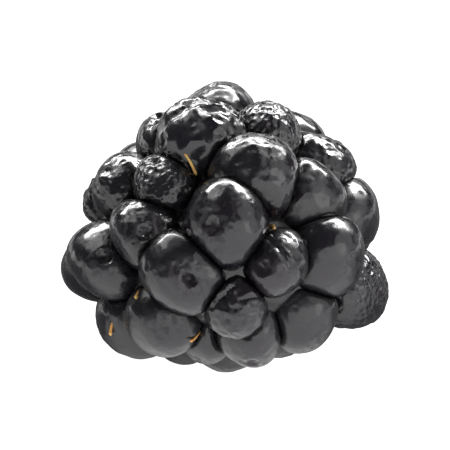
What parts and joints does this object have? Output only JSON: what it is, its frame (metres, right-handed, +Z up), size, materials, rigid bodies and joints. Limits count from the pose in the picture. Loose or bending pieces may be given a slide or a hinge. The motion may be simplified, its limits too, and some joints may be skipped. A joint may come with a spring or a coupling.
{
  "type": "bramble berry",
  "caption": "Ripe bramble berry, picked without its calyx: glossy black drupelets grown together round an olive-brown receptacle, lying on its side.",
  "frame": {"origin": "on the surface the berry rests on, at the bottom centre of its bounding box", "axes": "+Z up, +Y along the fruit's axis from its tip to its stem end, +X across it"},
  "size_m": [0.022, 0.0222, 0.0188],
  "materials": {
    "skin": "near-black berry skin with a wet gloss, slightly uneven, with dimples where the styles sat",
    "pith": "moist fibrous olive-brown pith, torn and browned at its end, with a paler scrap at its side",
    "style": "dry tan hairs"
  },
  "bodies": {
    "root": {"drupelets": "skin", "receptacle": "pith"}
  },
  "joints": []
}
